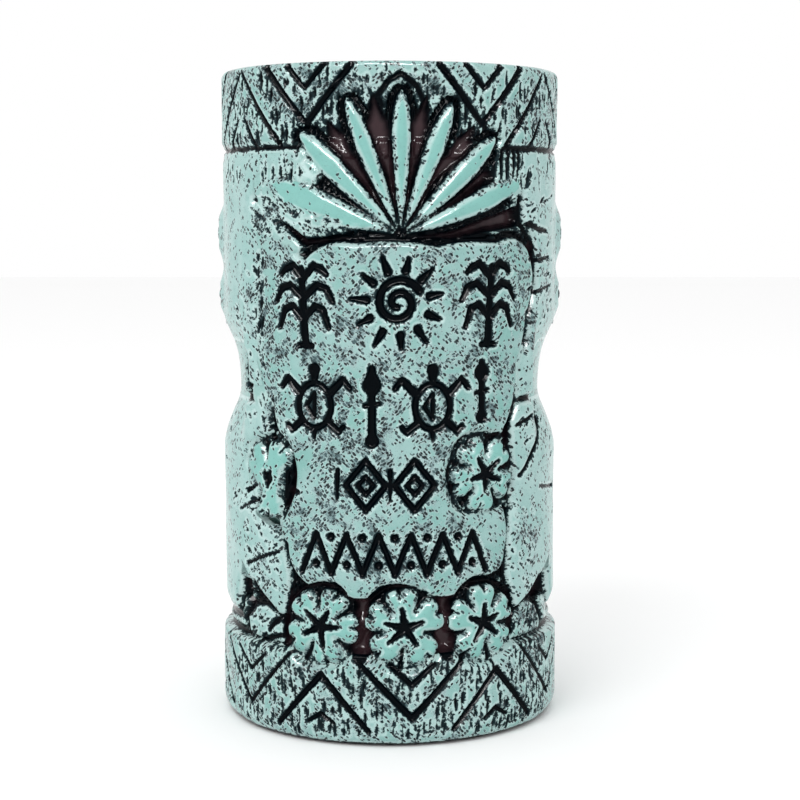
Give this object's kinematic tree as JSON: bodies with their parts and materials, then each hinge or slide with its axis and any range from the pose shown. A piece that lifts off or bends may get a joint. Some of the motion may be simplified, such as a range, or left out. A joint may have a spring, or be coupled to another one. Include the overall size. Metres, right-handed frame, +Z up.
{
  "type": "tiki mug",
  "caption": "Straight-sided ceramic tiki mug: a carved cup with a leaf fan, a tablet and flowers on one side and a carved figure's face on the other.",
  "frame": {"origin": "middle of the base, on the plane the mug stands on", "axes": "+Z up along the mug's axis; the tablet and leaf fan face -Y; the figure's face looks along +Y"},
  "size_m": [0.0846, 0.084, 0.158],
  "materials": {
    "vessel_glaze": "fired earthenware under a glossy clear glaze, near black-brown where it pools in the valleys, aqua at the lip",
    "inner_glaze": "smooth glossy pale aqua liner glaze",
    "speckled_glaze": "glossy aqua glaze over a black wash left in fine dashes and carved strokes",
    "leaf_glaze": "smooth glossy aqua glaze with paler edges",
    "figure_glaze": "glossy aqua glaze with black wash in the carved lines"
  },
  "bodies": {
    "root": {"arm_left": "figure_glaze", "arm_right": "figure_glaze", "base_band": "speckled_glaze", "brow_ridge": "figure_glaze", "ear_left": "figure_glaze", "ear_right": "figure_glaze", "eye_left": "figure_glaze", "eye_right": "figure_glaze", "face_panel": "figure_glaze", "flower_1": "leaf_glaze", "flower_2": "leaf_glaze", "flower_3": "leaf_glaze", "flower_4": "leaf_glaze", "flower_5": "leaf_glaze", "foot_left": "figure_glaze", "foot_right": "figure_glaze", "hand_left": "figure_glaze", "hand_right": "figure_glaze", "head_left": "figure_glaze", "head_right": "figure_glaze", "heel_left": "speckled_glaze", "heel_right": "speckled_glaze", "leaf_1": "leaf_glaze", "leaf_2": "leaf_glaze", "leaf_3": "leaf_glaze", "leaf_4": "leaf_glaze", "leaf_5": "leaf_glaze", "leaf_6": "leaf_glaze", "leaf_7": "leaf_glaze", "leg_left": "figure_glaze", "leg_right": "figure_glaze", "liner_glaze": "inner_glaze", "mouth": "figure_glaze", "mug_body": "vessel_glaze", "navel": "figure_glaze", "nose": "figure_glaze", "rim_band": "speckled_glaze", "tablet": "speckled_glaze", "teeth": "figure_glaze", "torso": "figure_glaze"}
  },
  "joints": []
}
